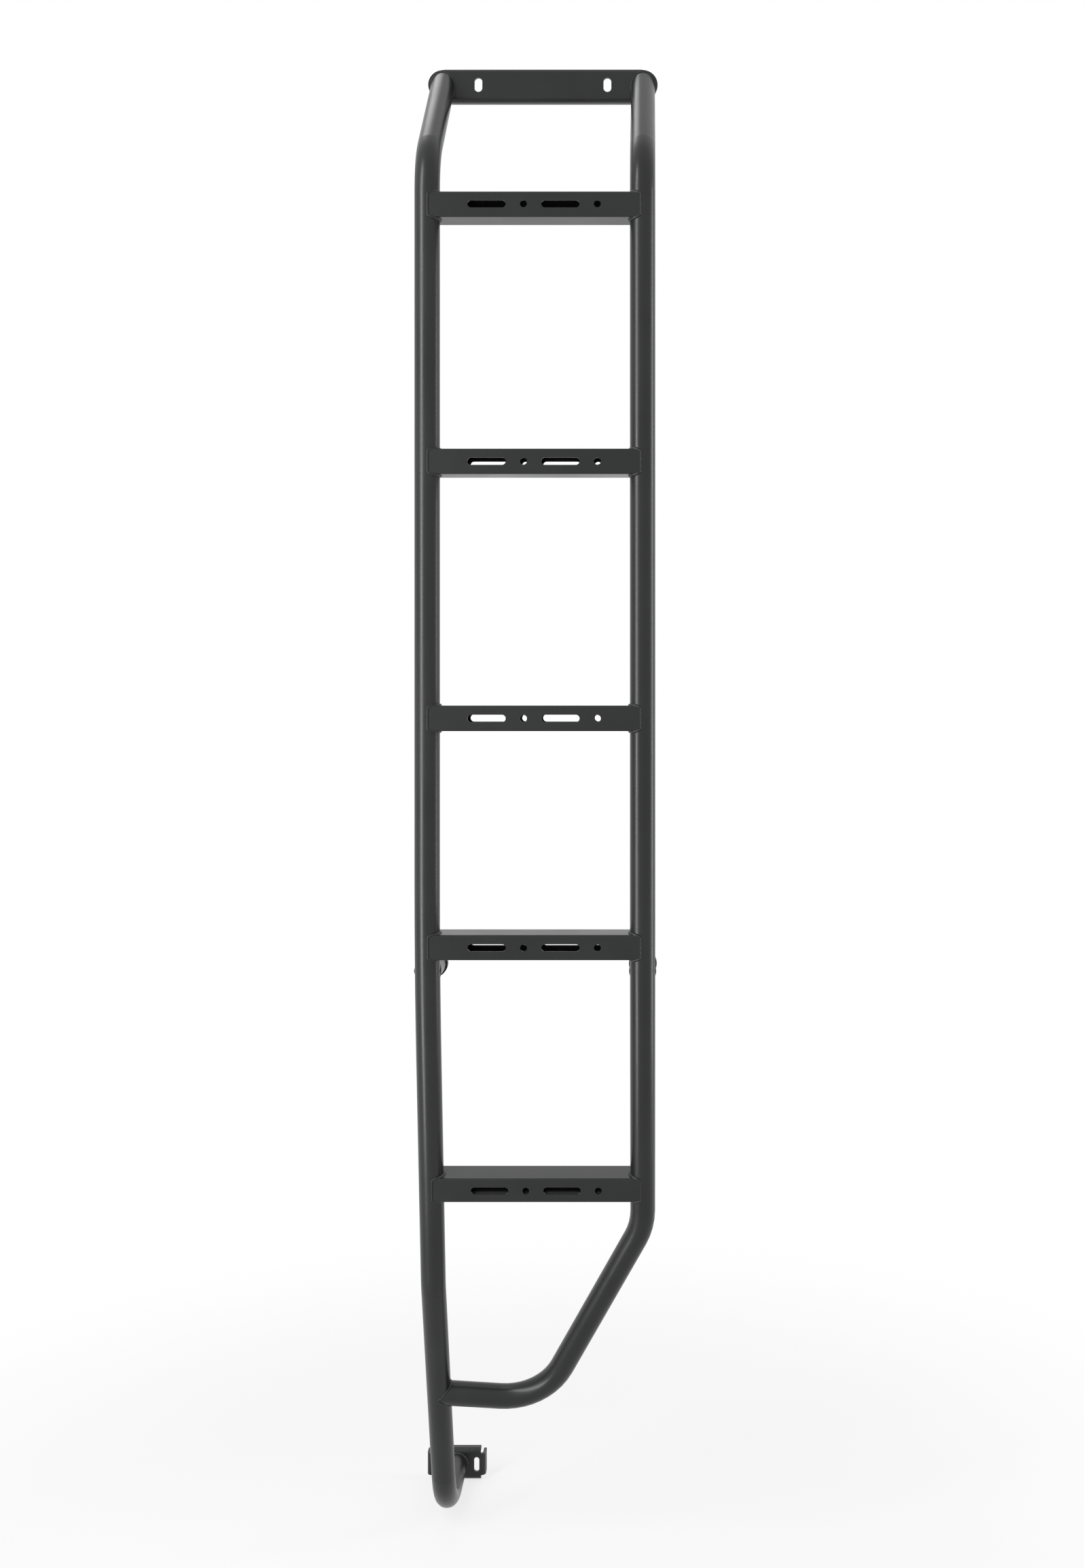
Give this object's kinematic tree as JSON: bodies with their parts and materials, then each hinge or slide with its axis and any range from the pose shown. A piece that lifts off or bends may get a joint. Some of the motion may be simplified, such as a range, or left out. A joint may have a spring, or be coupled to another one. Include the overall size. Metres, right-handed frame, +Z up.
{
  "type": "van side ladder",
  "caption": "Black welded tube ladder that bolts to the side of a van, with slotted rungs, a top plate, a bottom bracket and padded standoff feet.",
  "frame": {"origin": "centre of the back face of the top plate, which bolts to the van", "axes": "+X to the right seen by someone facing the van, +Y towards the van, +Z up"},
  "size_m": [0.397, 0.4428, 2.367],
  "materials": {
    "coated_metal": "satin black powder coat",
    "rubber": "matt moulded rubber"
  },
  "bodies": {
    "root": {"left_rail": "coated_metal", "right_rail": "coated_metal", "rung_1": "coated_metal", "rung_2": "coated_metal", "rung_3": "coated_metal", "rung_4": "coated_metal", "rung_5": "coated_metal", "top_plate": "coated_metal", "bottom_bracket": "coated_metal", "left_standoff": "coated_metal", "right_standoff": "coated_metal", "left_foot_disc": "coated_metal", "right_foot_disc": "coated_metal", "left_foot_pad": "rubber", "right_foot_pad": "rubber", "rung_1_weld_left": "coated_metal", "rung_1_weld_right": "coated_metal", "rung_2_weld_left": "coated_metal", "rung_2_weld_right": "coated_metal", "rung_3_weld_left": "coated_metal", "rung_3_weld_right": "coated_metal", "rung_4_weld_left": "coated_metal", "rung_4_weld_right": "coated_metal", "rung_5_weld_left": "coated_metal", "rung_5_weld_right": "coated_metal", "top_weld_left": "coated_metal", "top_weld_right": "coated_metal", "bottom_weld": "coated_metal", "join_weld": "coated_metal", "standoff_weld_left": "coated_metal", "standoff_weld_right": "coated_metal"}
  },
  "joints": []
}
